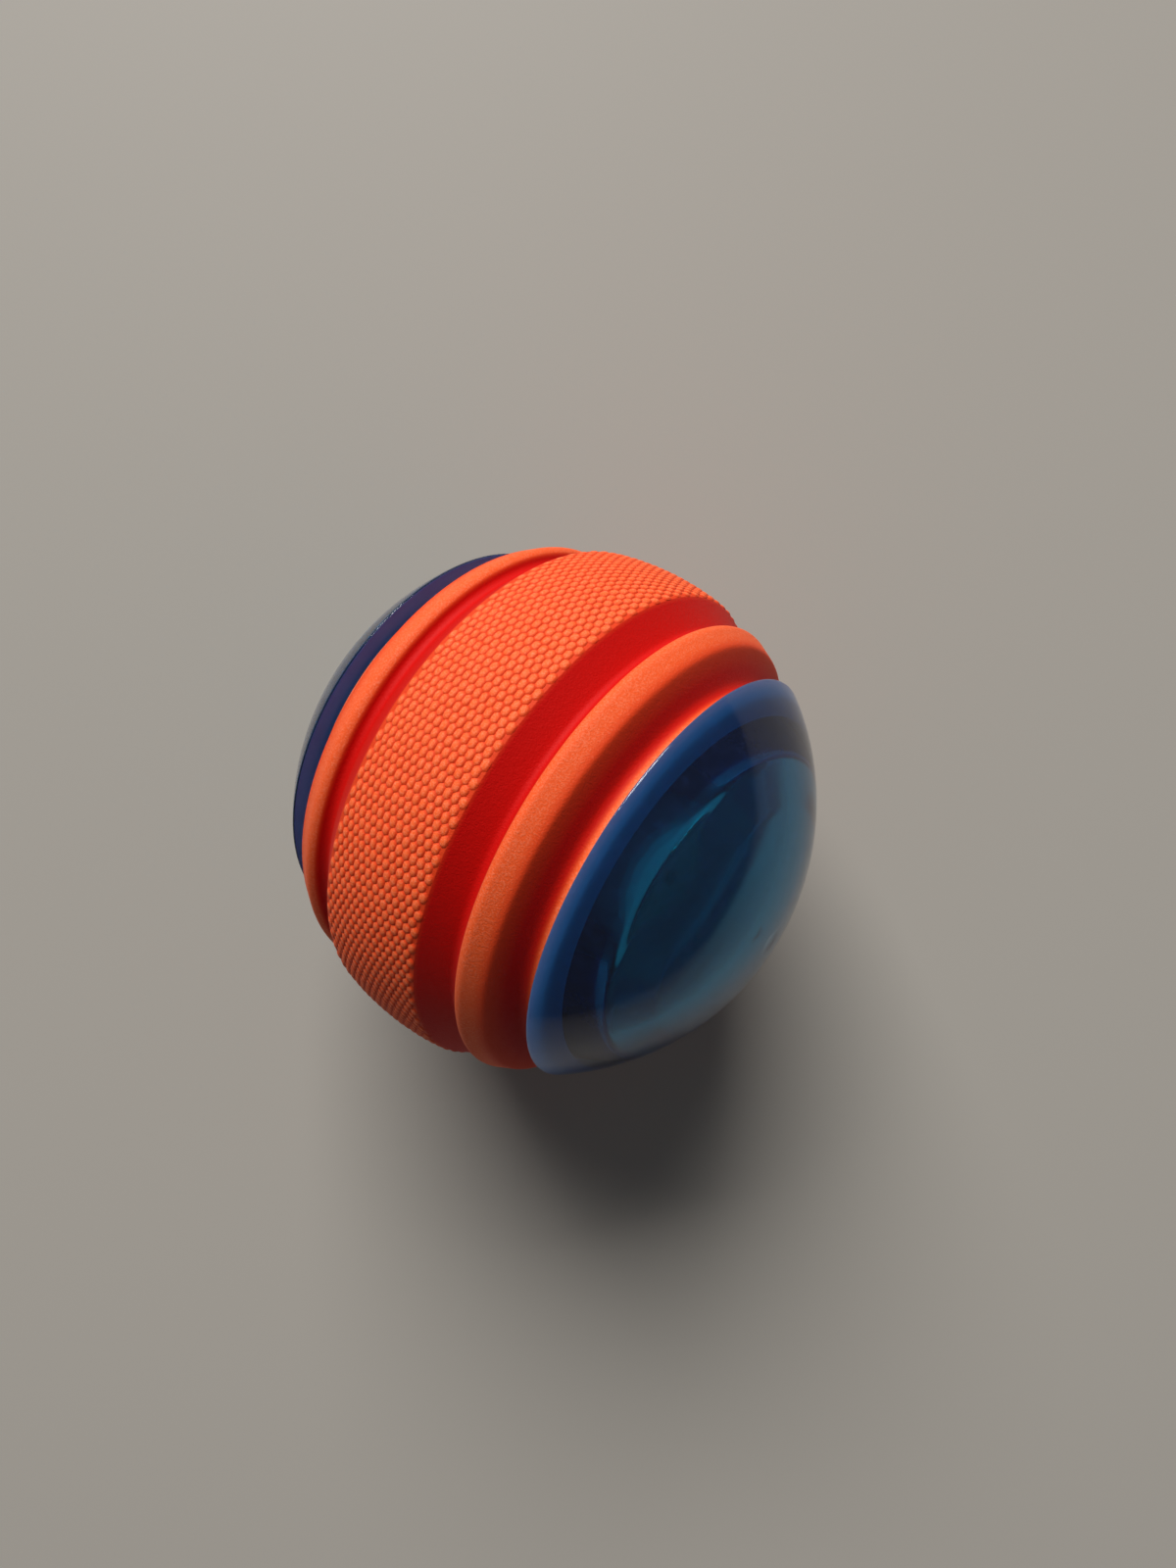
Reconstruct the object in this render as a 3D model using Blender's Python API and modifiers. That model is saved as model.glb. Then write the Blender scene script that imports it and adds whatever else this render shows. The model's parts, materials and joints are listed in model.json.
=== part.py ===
"""Light-up dog ball, lying on its side.

A ring of orange foam rubber is moulded with a wide belt, two grooves and two ridges. A thick
clear blue dome plugs into each end of its bore. Between the domes a clear capsule holds three
button cells, a circuit board and its lamps. One dome pulls off so that the cells can be
changed, and a sprung button in the other dome's pole works the switch on the board.

Everything is drawn about the ball's own axis: z runs along it, up towards the pull-off dome,
and the radius runs out from it. An empty then leans that axis the way the ball lies.
"""

import math

import bpy
from mathutils import Matrix, Vector

# Sizes are in millimetres, and MM turns them into metres
MM = 0.001

# Clearances
FIT_GAP = 0.3
SOLDER_GAP = 0.15
SCREW_GAP = 0.2

# Rubber body: its outer shape, the same on both sides of the middle
BALL_RADIUS = 32.5
BELT_HALF_WIDTH = 6.75
GROOVE_Z = 10.3
GROOVE_RADIUS = 28.3
RIDGE_INNER_Z = 11.3
RIDGE_INNER_RADIUS = 30.5
RIDGE_OUTER_Z = 14.3
RIDGE_OUTER_RADIUS = 28.9
NECK_Z = 16.2
NECK_RADIUS = 24.7
BODY_END_Z = 18.0
BELT_EDGE_FILLET = 0.25
BODY_END_FILLET = 0.4
GROOVE_FILLET = 0.8
RIDGE_INNER_FILLET = 1.0
RIDGE_OUTER_FILLET = 1.0
NECK_FILLET = 1.2

# Domes
RIM_RADIUS = 26.7
RIM_LAND = 0.3
RIM_FILLET = 0.2
POLE_Z = 31.7
DOME_WALL = 3.5
CAVITY_RADIUS = 18.5
ROOF_SHARE = 0.75
CAVITY_FILLET = 1.2
SPIGOT_WALL = 2.5
SPIGOT_LENGTH = 8.3
SPIGOT_CHAMFER = 0.8
GATE_RADIUS = 1.5
GATE_DEPTH = 0.2

# Light capsule
CAPSULE_WALL = 1.5
CAPSULE_FILLET = 1.2
CUP_FILLET = 0.6
FLANGE_THICKNESS = 2.0
FAR_CUP_DEPTH = 5.0
SEAL_WIRE_RADIUS = 0.35
SEAL_REBATE = 0.8
SCREW_COUNT = 3
BOSS_BITE = 0.4
SCREW_RADIUS = 0.8
SCREW_HEAD_RADIUS = 1.6
SCREW_HEAD_HEIGHT = 1.0
SCREW_BITE = 4.5
SCREW_RECESS = 0.7
SCREW_RECESS_RADIUS = 0.7
SCREW_HEAD_FILLET = 0.4
TIP_FILLET = 0.3
BOSS_RADIUS = 2.1
BOSS_LENGTH = 6.0
BOSS_ANGLE = math.radians(30.0)

# Circuit board and what is soldered to it
BOARD_THICKNESS = 1.6
SWITCH_SIDE = 6.0
SWITCH_HEIGHT = 3.5
SWITCH_BEVEL = 0.3
PLUNGER_RADIUS = 1.7
PLUNGER_REACH = 1.5
PLUNGER_DEPTH = 1.2
LED_COUNT = 3
LED_RADIUS = 1.5
LED_FLANGE_RADIUS = 1.8
LED_FLANGE_HEIGHT = 1.0
LED_HEIGHT = 4.6
LED_CLEARANCE = 0.65
LED_ANGLE = math.radians(90.0)
CHIP_SIZE = (3.9, 4.9, 1.5)
CHIP_ANGLE = 0.0
CHIP_BEVEL = 0.15
RESISTOR_SIZE = (1.25, 2.0, 0.5)
CAPACITOR_SIZE = (1.25, 2.0, 1.1)
PASSIVE_CIRCLE = 6.0
PASSIVE_BEVEL = 0.08
RESISTOR_ANGLES = (0.0, math.pi)
CAPACITOR_ANGLE = math.radians(30.0)

# Battery bay
CELL_RADIUS = 5.8
CELL_HEIGHT = 5.4
CELL_COUNT = 3
CELL_FILLET = 0.5
CELL_STEP_RADIUS = 4.9
CELL_STEP_HEIGHT = 0.7
TUBE_WALL = 1.2
CONTACT_HEIGHT = 2.0
CONTACT_THICKNESS = 0.3
CONTACT_WIDTH = 2.4
CONTACT_FOOT = 1.8
CONTACT_REACH = 3.0
CONTACT_BEND = 0.5
SIDE_SLOT_DEPTH = 7.0

# Quarter-turn battery lid
LUG_HEIGHT = 1.2
LUG_REACH = 1.3
LUG_WIDTH = 3.0
LID_HEAD_RADIUS = 9.6
LID_HEAD_HEIGHT = 2.0
LID_FILLET = 0.6
LID_TURN = math.radians(60.0)
COIN_SLOT_LENGTH = 12.0
COIN_SLOT_WIDTH = 1.8
COIN_SLOT_DEPTH = 0.9
LID_SEAL_CIRCLE = 8.4
LID_SEAL_WIRE_RADIUS = 0.45

# Power button
BUTTON_RADIUS = 4.9
BUTTON_RECESS = 0.5
BUTTON_FLANGE_RADIUS = 6.6
BUTTON_FLANGE_HEIGHT = 1.0
BUTTON_TRAVEL = 0.8
STEM_RADIUS = 1.7
COLLAR_WALL = 0.7
COLLAR_HEIGHT = 1.0
SPRING_RADIUS = 3.4
SPRING_WIRE_RADIUS = 0.3
SPRING_TURNS = 6
SPRING_POINTS_PER_TURN = 9

# Facets round each kind of piece, and along its curves
SKIN_STEPS = 40
CAPSULE_STEPS = 24
SMALL_STEPS = 18
BOSS_STEPS = 10
LED_STEPS = 8
SEAL_WIRE_STEPS = 6
BELT_ARC_STEPS = 4
SKIN_ARC_STEPS = 8
ROOF_ARC_STEPS = 3
LED_TOP_STEPS = 3
FILLET_STEP = math.radians(32.0)
SHARP_ANGLE = math.radians(35.0)

# How the modelling is done: a fillet's largest share of a side, how far cutters run past a
# face, and how close points are merged, in metres
FILLET_SHARE = 0.48
CUT_OVERRUN = 1.0
MERGE_DISTANCE = 0.000001

# Heights and radii that follow from the sizes above, from the cells outwards
TUBE_BORE = CELL_RADIUS + FIT_GAP
TUBE_RADIUS = TUBE_BORE + TUBE_WALL
LED_CIRCLE = TUBE_RADIUS + LED_CLEARANCE + LED_FLANGE_RADIUS
CAPSULE_BORE = LED_CIRCLE + LED_FLANGE_RADIUS + LED_CLEARANCE
CAPSULE_RADIUS = CAPSULE_BORE + CAPSULE_WALL
DOME_FACE_Z = BODY_END_Z + FIT_GAP
RIM_Z = DOME_FACE_Z + RIM_LAND
SPIGOT_END_Z = DOME_FACE_Z - SPIGOT_LENGTH
SPIGOT_RADIUS = CAVITY_RADIUS + SPIGOT_WALL
BORE_RADIUS = SPIGOT_RADIUS + FIT_GAP
MIDDLE_BORE_RADIUS = CAPSULE_RADIUS + FIT_GAP
CAP_RADIUS = ((POLE_Z - RIM_Z) ** 2 + RIM_RADIUS**2) / (2 * (POLE_Z - RIM_Z))
CAP_CENTRE_Z = POLE_Z - CAP_RADIUS
SCREW_CIRCLE = CAPSULE_BORE + BOSS_BITE - BOSS_RADIUS
FLANGE_FAR_Z = FIT_GAP - SPIGOT_END_Z
FLANGE_NEAR_Z = FLANGE_FAR_Z + FLANGE_THICKNESS
BOARD_FAR_Z = FLANGE_FAR_Z
BOARD_NEAR_Z = BOARD_FAR_Z + BOARD_THICKNESS
BOSS_FOOT_Z = BOARD_NEAR_Z + FIT_GAP
CELL_FOOT_Z = BOARD_NEAR_Z + CONTACT_HEIGHT + FIT_GAP
CELL_PITCH = CELL_HEIGHT + FIT_GAP
PLUG_FOOT_Z = CELL_FOOT_Z + CELL_COUNT * CELL_PITCH
LUG_TOP_Z = PLUG_FOOT_Z + LUG_HEIGHT
END_WALL_Z = LUG_TOP_Z + FIT_GAP
CAPSULE_END_Z = END_WALL_Z + CAPSULE_WALL
LID_HEAD_Z = CAPSULE_END_Z + FIT_GAP
LID_TOP_Z = LID_HEAD_Z + LID_HEAD_HEIGHT
TUBE_TOP_Z = PLUG_FOOT_Z - FIT_GAP
FAR_CUP_MOUTH_Z = FLANGE_FAR_Z - FIT_GAP
FAR_WALL_Z = FAR_CUP_MOUTH_Z - FAR_CUP_DEPTH
FAR_END_Z = FAR_WALL_Z - CAPSULE_WALL
SWITCH_BASE_Z = BOARD_FAR_Z - SOLDER_GAP
SWITCH_FACE_Z = SWITCH_BASE_Z - SWITCH_HEIGHT
PLUNGER_TIP_Z = SWITCH_FACE_Z - PLUNGER_REACH
STEM_TIP_Z = PLUNGER_TIP_Z - FIT_GAP
STEM_HOLE = STEM_RADIUS + FIT_GAP
SCREW_HOLE = SCREW_RADIUS + SCREW_GAP


def cap_z(radius, inset=0.0):
    """Height of the dome's outer skin at a radius, or of a skin set in from it."""
    return CAP_CENTRE_Z + math.sqrt((CAP_RADIUS - inset) ** 2 - radius**2)


BUTTON_SHOULDER_Z = FIT_GAP - cap_z(BUTTON_FLANGE_RADIUS, DOME_WALL)
BUTTON_FLANGE_Z = BUTTON_SHOULDER_Z + BUTTON_FLANGE_HEIGHT

# The ball lies on a ridge and on the rim of the dome beside it, and this is how far its axis rises
LEAN = math.atan2(RIDGE_INNER_RADIUS - RIM_RADIUS, RIM_Z - RIDGE_INNER_Z)


def clear_scene():
    """Take away whatever the file opened with."""
    for old in list(bpy.data.objects):
        bpy.data.objects.remove(old, do_unlink=True)


def new_collection(name):
    """A collection linked to the scene."""
    made = bpy.data.collections.new(name)
    bpy.context.scene.collection.children.link(made)
    return made


def leaning_axis():
    """The empty that every piece hangs on: its +Z is the ball's own axis."""
    empty = bpy.data.objects.new("ball_axis", None)
    empty.rotation_euler = (0.0, math.pi / 2 - LEAN, 0.0)
    PIECES.objects.link(empty)
    return empty


def finish_of(name, colour, roughness, metallic=0.0):
    """A plain Principled material."""
    made = bpy.data.materials.new(name)
    made.use_nodes = True
    shader = made.node_tree.nodes["Principled BSDF"]
    shader.inputs["Base Color"].default_value = (*colour, 1.0)
    shader.inputs["Roughness"].default_value = roughness
    shader.inputs["Metallic"].default_value = metallic
    made.diffuse_color = (*colour, 1.0)
    return made


def add_piece(name, mesh, material):
    """A piece of the ball, on the leaning axis."""
    piece = bpy.data.objects.new(name, mesh)
    piece.data.materials.clear()
    piece.data.materials.append(material)
    PIECES.objects.link(piece)
    piece.parent = AXIS
    return piece


def add_cutter(name, mesh):
    """A shape that only cuts or joins others, left out of the build."""
    cutter = bpy.data.objects.new(name, mesh)
    CUTTERS.objects.link(cutter)
    cutter.parent = AXIS
    cutter.hide_render = True
    cutter.display_type = "WIRE"
    return cutter


def boolean(piece, other, operation):
    """Cut a piece with another shape, or join that shape to it."""
    step = piece.modifiers.new(operation.lower() + "_" + other.name, "BOOLEAN")
    step.operation = operation
    step.solver = "EXACT"
    step.object = other


def rounded(before, corner, after, fillet):
    """The arc that rounds one corner, touching both of its sides."""
    here = Vector(corner)
    back = Vector(before) - here
    ahead = Vector(after) - here
    half = back.angle(ahead) / 2
    room = FILLET_SHARE * min(back.length, ahead.length)
    reach = min(fillet / math.tan(half), room)
    radius = reach * math.tan(half)
    centre = here + (back.normalized() + ahead.normalized()).normalized() * radius / math.sin(half)
    first = here + back.normalized() * reach - centre
    last = here + ahead.normalized() * reach - centre
    sweep = first.angle_signed(last)
    count = max(1, round(abs(sweep) / FILLET_STEP))
    points = []
    for i in range(count + 1):
        turn = Matrix.Rotation(-sweep * i / count, 2)
        points.append(tuple(centre + turn @ first))
    return points


def outline(corners, closed):
    """Points of a profile given as (radius, z, fillet) corners."""
    points = []
    last = len(corners) - 1
    for i, (radius, z, fillet) in enumerate(corners):
        if fillet == 0.0 or (not closed and i in (0, last)):
            points.append((radius, z))
            continue
        before = corners[i - 1][:2]
        after = corners[(i + 1) % len(corners)][:2]
        points.extend(rounded(before, (radius, z), after, fillet))
    return points


def turned_mesh(name, corners, closed):
    """A profile in the XZ plane, ready to be turned about z."""
    points = outline(corners, closed)
    count = len(points)
    edges = [(i, i + 1) for i in range(count - 1)]
    if closed:
        edges.append((count - 1, 0))
    mesh = bpy.data.meshes.new(name)
    mesh.from_pydata([(r * MM, 0.0, z * MM) for r, z in points], edges, [])
    return mesh


def turn(piece, steps):
    """Turn a profile once round the piece's z axis."""
    screw = piece.modifiers.new("turn", "SCREW")
    screw.axis = "Z"
    screw.angle = 2 * math.pi
    screw.steps = steps
    screw.render_steps = steps
    screw.use_merge_vertices = True
    screw.merge_threshold = MERGE_DISTANCE
    screw.use_smooth_shade = True


def turned(name, corners, steps, material, closed=False):
    """A turned piece. Its corners run down the outer side, from top to bottom."""
    piece = add_piece(name, turned_mesh(name, corners, closed), material)
    turn(piece, steps)
    return piece


def turned_cutter(name, corners, steps, x=0.0, y=0.0):
    """A turned cutter that stands at x, y."""
    cutter = add_cutter(name, turned_mesh(name, corners, False))
    turn(cutter, steps)
    cutter.location = (x * MM, y * MM, 0.0)
    return cutter


def rod_corners(radius, low, high, fillet=0.0):
    """The profile of a plain round rod."""
    return [(0.0, high, 0.0), (radius, high, fillet), (radius, low, fillet), (0.0, low, 0.0)]


def ring_corners(inner, outer, low, high, fillet=0.0):
    """The profile of a plain round tube or washer."""
    return [(inner, high, fillet), (outer, high, fillet), (outer, low, fillet), (inner, low, fillet)]


def box_mesh(name, size, centre, angle=0.0):
    """A box turned by an angle about z and then moved out to its place."""
    bpy.ops.mesh.primitive_cube_add(size=1.0)
    made = bpy.context.active_object
    mesh = made.data
    mesh.name = name
    place = Matrix.Translation(Vector(centre) * MM)
    spin = Matrix.Rotation(angle, 4, "Z")
    scale = Matrix.Diagonal((size[0] * MM, size[1] * MM, size[2] * MM, 1.0))
    mesh.transform(spin @ place @ scale)
    bpy.data.objects.remove(made, do_unlink=True)
    return mesh


def box(name, size, centre, material, bevel, angle=0.0):
    """A small moulded or soldered block with softened edges."""
    piece = add_piece(name, box_mesh(name, size, centre, angle), material)
    soft = piece.modifiers.new("edges", "BEVEL")
    soft.width = bevel * MM
    soft.segments = 1
    return piece


def strip(name, path, width, thickness, material):
    """A bent metal strip that follows a path in the XZ plane."""
    points = outline(path, False)
    half = width / 2
    verts = []
    for x, z in points:
        for y in (-half, half):
            verts.append((x * MM, y * MM, z * MM))
    faces = [(2 * i, 2 * i + 1, 2 * i + 3, 2 * i + 2) for i in range(len(points) - 1)]
    mesh = bpy.data.meshes.new(name)
    mesh.from_pydata(verts, [], faces)
    piece = add_piece(name, mesh, material)
    solid = piece.modifiers.new("sheet", "SOLIDIFY")
    solid.thickness = thickness * MM
    solid.offset = 0.0
    solid.use_even_offset = True
    return piece


def seal_ring(name, circle, z, wire):
    """A round rubber ring."""
    bpy.ops.mesh.primitive_torus_add(
        major_radius=circle * MM,
        minor_radius=wire * MM,
        major_segments=CAPSULE_STEPS,
        minor_segments=SEAL_WIRE_STEPS,
    )
    made = bpy.context.active_object
    mesh = made.data
    mesh.name = name
    bpy.data.objects.remove(made, do_unlink=True)
    ring = add_piece(name, mesh, SEAL_RUBBER)
    ring.location = (0.0, 0.0, z * MM)
    return ring


def belt_arc():
    """The belt's crown from its upper edge to its lower one, on the ball's sphere."""
    edge = math.asin(BELT_HALF_WIDTH / BALL_RADIUS)
    crown = []
    for i in range(BELT_ARC_STEPS + 1):
        angle = edge * (1 - 2 * i / BELT_ARC_STEPS)
        fillet = BELT_EDGE_FILLET if i in (0, BELT_ARC_STEPS) else 0.0
        crown.append((BALL_RADIUS * math.cos(angle), BALL_RADIUS * math.sin(angle), fillet))
    return crown


def dome_arc(start_radius, end_radius, count, inset=0.0):
    """Points along the dome's skin, or along a skin set in from it."""
    reach = CAP_RADIUS - inset
    first = math.asin(start_radius / reach)
    last = math.asin(end_radius / reach)
    points = []
    for i in range(count + 1):
        angle = first + (last - first) * i / count
        points.append((reach * math.sin(angle), CAP_CENTRE_Z + reach * math.cos(angle), 0.0))
    return points


def make_rubber_body():
    """Foam-rubber ring: belt, grooves, ridges and necks outside, a stepped bore inside."""
    side = [
        (NECK_RADIUS, BODY_END_Z, BODY_END_FILLET),
        (NECK_RADIUS, NECK_Z, NECK_FILLET),
        (RIDGE_OUTER_RADIUS, RIDGE_OUTER_Z, RIDGE_OUTER_FILLET),
        (RIDGE_INNER_RADIUS, RIDGE_INNER_Z, RIDGE_INNER_FILLET),
        (GROOVE_RADIUS, GROOVE_Z, GROOVE_FILLET),
    ]
    other_side = [(radius, -z, fillet) for radius, z, fillet in reversed(side)]
    bore = [
        (BORE_RADIUS, -BODY_END_Z, 0.0),
        (BORE_RADIUS, FLANGE_NEAR_Z + FIT_GAP, 0.0),
        (MIDDLE_BORE_RADIUS, FLANGE_NEAR_Z + FIT_GAP, 0.0),
        (MIDDLE_BORE_RADIUS, SPIGOT_END_Z - FIT_GAP, 0.0),
        (BORE_RADIUS, SPIGOT_END_Z - FIT_GAP, 0.0),
        (BORE_RADIUS, BODY_END_Z, 0.0),
    ]
    corners = side + belt_arc() + other_side + bore
    turned("rubber_body", corners, SKIN_STEPS, FOAM_RUBBER, closed=True)


def dome_skirt():
    """From the dome's rim in under its face, down the spigot and up into the cavity."""
    return [
        (RIM_RADIUS, DOME_FACE_Z, RIM_FILLET),
        (SPIGOT_RADIUS, DOME_FACE_Z, 0.0),
        (SPIGOT_RADIUS, SPIGOT_END_Z + SPIGOT_CHAMFER, 0.0),
        (SPIGOT_RADIUS - SPIGOT_CHAMFER, SPIGOT_END_Z, 0.0),
        (CAVITY_RADIUS, SPIGOT_END_Z, 0.0),
        (CAVITY_RADIUS, cap_z(CAVITY_RADIUS, DOME_WALL), CAVITY_FILLET),
    ]


def make_near_dome():
    """Pull-off dome: a thick cap over a round cavity, with a moulding-gate dimple at its pole."""
    pole = [(0.0, POLE_Z - GATE_DEPTH, 0.0), (GATE_RADIUS - GATE_DEPTH, POLE_Z - GATE_DEPTH, 0.0)]
    skin = dome_arc(GATE_RADIUS, RIM_RADIUS, SKIN_ARC_STEPS)
    roof = dome_arc(ROOF_SHARE * CAVITY_RADIUS, 0.0, ROOF_ARC_STEPS, DOME_WALL)
    turned("near_dome", pole + skin + dome_skirt() + roof, SKIN_STEPS, CLEAR_BLUE)


def make_far_dome():
    """The other dome, turned over, with a hole through its pole for the button."""
    hole = BUTTON_RADIUS + FIT_GAP
    skin = dome_arc(hole, RIM_RADIUS, SKIN_ARC_STEPS)
    roof = dome_arc(ROOF_SHARE * CAVITY_RADIUS, hole, ROOF_ARC_STEPS, DOME_WALL)
    dome = turned("far_dome", skin + dome_skirt() + roof, SKIN_STEPS, CLEAR_BLUE, closed=True)
    dome.rotation_euler = (math.pi, 0.0, 0.0)


def screw_places():
    """Where the capsule's screws stand round its axis."""
    places = []
    for i in range(SCREW_COUNT):
        angle = BOSS_ANGLE + 2 * math.pi * i / SCREW_COUNT
        places.append((SCREW_CIRCLE * math.cos(angle), SCREW_CIRCLE * math.sin(angle)))
    return places


def make_capsule_near():
    """The capsule's long cup: a flange trapped in the bore, a bayonet mouth, three bosses."""
    flange = BORE_RADIUS - FIT_GAP
    mouth = CELL_RADIUS + FIT_GAP
    corners = [
        (mouth, CAPSULE_END_Z, 0.0),
        (CAPSULE_RADIUS, CAPSULE_END_Z, CAPSULE_FILLET),
        (CAPSULE_RADIUS, FLANGE_NEAR_Z, 0.0),
        (flange, FLANGE_NEAR_Z, 0.0),
        (flange, FLANGE_FAR_Z, 0.0),
        (CAPSULE_BORE, FLANGE_FAR_Z, 0.0),
        (CAPSULE_BORE, END_WALL_Z, CUP_FILLET),
        (mouth, END_WALL_Z, 0.0),
    ]
    cup = turned("capsule_near", corners, CAPSULE_STEPS, CLEAR_PLASTIC, closed=True)
    for i, (x, y) in enumerate(screw_places(), 1):
        boss = rod_corners(BOSS_RADIUS, BOSS_FOOT_Z, BOSS_FOOT_Z + BOSS_LENGTH)
        boolean(cup, turned_cutter(f"boss_{i}", boss, BOSS_STEPS, x, y), "UNION")
        pilot = rod_corners(SCREW_HOLE, BOSS_FOOT_Z - CUT_OVERRUN, BOSS_FOOT_Z + SCREW_BITE + FIT_GAP)
        boolean(cup, turned_cutter(f"pilot_{i}", pilot, LED_STEPS, x, y), "DIFFERENCE")
    reach = 2 * (mouth + LUG_REACH)
    size = (reach, LUG_WIDTH + 2 * FIT_GAP, 2 * CAPSULE_WALL)
    centre = (0.0, 0.0, CAPSULE_END_Z - CAPSULE_WALL / 2)
    boolean(cup, add_cutter("lug_notches", box_mesh("lug_notches", size, centre, LID_TURN)), "DIFFERENCE")


def make_capsule_far():
    """The capsule's short cup, with screw posts and a collar that guides the button's stem."""
    rebate = CAPSULE_RADIUS - SEAL_REBATE
    corners = [
        (rebate, FAR_CUP_MOUTH_Z, 0.0),
        (rebate, FAR_CUP_MOUTH_Z - SEAL_REBATE, 0.0),
        (CAPSULE_RADIUS, FAR_CUP_MOUTH_Z - SEAL_REBATE, 0.0),
        (CAPSULE_RADIUS, FAR_END_Z, CAPSULE_FILLET),
        (STEM_HOLE + COLLAR_WALL, FAR_END_Z, 0.0),
        (STEM_HOLE + COLLAR_WALL, FAR_END_Z - COLLAR_HEIGHT, 0.0),
        (STEM_HOLE, FAR_END_Z - COLLAR_HEIGHT, 0.0),
        (STEM_HOLE, FAR_WALL_Z, 0.0),
        (CAPSULE_BORE, FAR_WALL_Z, CUP_FILLET),
        (CAPSULE_BORE, FAR_CUP_MOUTH_Z, 0.0),
    ]
    cup = turned("capsule_far", corners, CAPSULE_STEPS, CLEAR_PLASTIC, closed=True)
    head_room = SCREW_HEAD_RADIUS + SCREW_GAP
    seat = FAR_END_Z + SCREW_HEAD_HEIGHT + FIT_GAP
    for i, (x, y) in enumerate(screw_places(), 1):
        post = rod_corners(BOSS_RADIUS, FAR_WALL_Z - CAPSULE_WALL / 2, FAR_CUP_MOUTH_Z)
        boolean(cup, turned_cutter(f"post_{i}", post, BOSS_STEPS, x, y), "UNION")
        well = [
            (0.0, BOARD_FAR_Z, 0.0),
            (SCREW_HOLE, BOARD_FAR_Z, 0.0),
            (SCREW_HOLE, seat, 0.0),
            (head_room, seat, 0.0),
            (head_room, FAR_END_Z - CUT_OVERRUN, 0.0),
            (0.0, FAR_END_Z - CUT_OVERRUN, 0.0),
        ]
        boolean(cup, turned_cutter(f"well_{i}", well, LED_STEPS, x, y), "DIFFERENCE")


def make_capsule_seal():
    """O-ring in the corner where the two cups meet."""
    centre = CAPSULE_RADIUS - SEAL_REBATE / 2
    middle = FAR_CUP_MOUTH_Z - SEAL_REBATE / 2
    seal_ring("capsule_seal", centre, middle, SEAL_WIRE_RADIUS)


def make_case_screws():
    """Three pan-head screws that hold the cups and the board together."""
    head_far = FAR_END_Z
    head_near = head_far + SCREW_HEAD_HEIGHT
    corners = [
        (0.0, BOSS_FOOT_Z + SCREW_BITE, 0.0),
        (SCREW_RADIUS, BOSS_FOOT_Z + SCREW_BITE, TIP_FILLET),
        (SCREW_RADIUS, head_near, 0.0),
        (SCREW_HEAD_RADIUS, head_near, 0.0),
        (SCREW_HEAD_RADIUS, head_far, SCREW_HEAD_FILLET),
        (SCREW_RECESS_RADIUS, head_far, 0.0),
        (SCREW_RECESS_RADIUS, head_far + SCREW_RECESS, 0.0),
        (0.0, head_far + SCREW_RECESS, 0.0),
    ]
    for i, (x, y) in enumerate(screw_places(), 1):
        screw = turned(f"case_screw_{i}", corners, LED_STEPS, STEEL)
        screw.location = (x * MM, y * MM, 0.0)


def make_circuit_board():
    """Round board with three screw holes."""
    corners = rod_corners(CAPSULE_BORE - FIT_GAP, BOARD_FAR_Z, BOARD_NEAR_Z)
    board = turned("circuit_board", corners, CAPSULE_STEPS, BOARD_GREEN)
    for i, (x, y) in enumerate(screw_places(), 1):
        hole = rod_corners(SCREW_HOLE, BOARD_FAR_Z - CUT_OVERRUN, BOARD_NEAR_Z + CUT_OVERRUN)
        boolean(board, turned_cutter(f"board_hole_{i}", hole, LED_STEPS, x, y), "DIFFERENCE")


def make_switch():
    """Push switch on the board, with a well for its plunger."""
    middle = (SWITCH_BASE_Z + SWITCH_FACE_Z) / 2
    size = (SWITCH_SIDE, SWITCH_SIDE, SWITCH_HEIGHT)
    base = box("tact_switch", size, (0.0, 0.0, middle), DARK_PLASTIC, SWITCH_BEVEL)
    floor = SWITCH_FACE_Z + PLUNGER_DEPTH + BUTTON_TRAVEL + FIT_GAP
    well = rod_corners(PLUNGER_RADIUS + FIT_GAP, SWITCH_FACE_Z - CUT_OVERRUN, floor)
    boolean(base, turned_cutter("plunger_well", well, SMALL_STEPS), "DIFFERENCE")


def make_switch_plunger():
    """The switch's plunger, pressed by the button's stem."""
    corners = rod_corners(PLUNGER_RADIUS, PLUNGER_TIP_Z, SWITCH_FACE_Z + PLUNGER_DEPTH, TIP_FILLET)
    turned("switch_plunger", corners, SMALL_STEPS, DARK_PLASTIC)


def led_corners(base, height, side):
    """Profile of a round-topped lamp that points up (side 1) or down (side -1)."""
    top = base + side * height
    dome = []
    for i in range(LED_TOP_STEPS + 1):
        angle = math.pi / 2 * i / LED_TOP_STEPS
        dome.append((LED_RADIUS * math.sin(angle), top - side * LED_RADIUS * (1 - math.cos(angle)), 0.0))
    foot = [
        (LED_RADIUS, base + side * LED_FLANGE_HEIGHT, 0.0),
        (LED_FLANGE_RADIUS, base + side * LED_FLANGE_HEIGHT, 0.0),
        (LED_FLANGE_RADIUS, base, 0.0),
        (0.0, base, 0.0),
    ]
    corners = dome + foot
    return corners if side > 0 else list(reversed(corners))


def make_leds():
    """Three lamps on each side of the board."""
    near = led_corners(BOARD_NEAR_Z + SOLDER_GAP, LED_HEIGHT, 1)
    far = led_corners(BOARD_FAR_Z - SOLDER_GAP, LED_HEIGHT, -1)
    for i in range(LED_COUNT):
        angle = LED_ANGLE + 2 * math.pi * i / LED_COUNT
        place = (LED_CIRCLE * math.cos(angle) * MM, LED_CIRCLE * math.sin(angle) * MM, 0.0)
        turned(f"led_near_{i + 1}", near, LED_STEPS, CLEAR_PLASTIC).location = place
        turned(f"led_far_{i + 1}", far, LED_STEPS, CLEAR_PLASTIC).location = place


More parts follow.
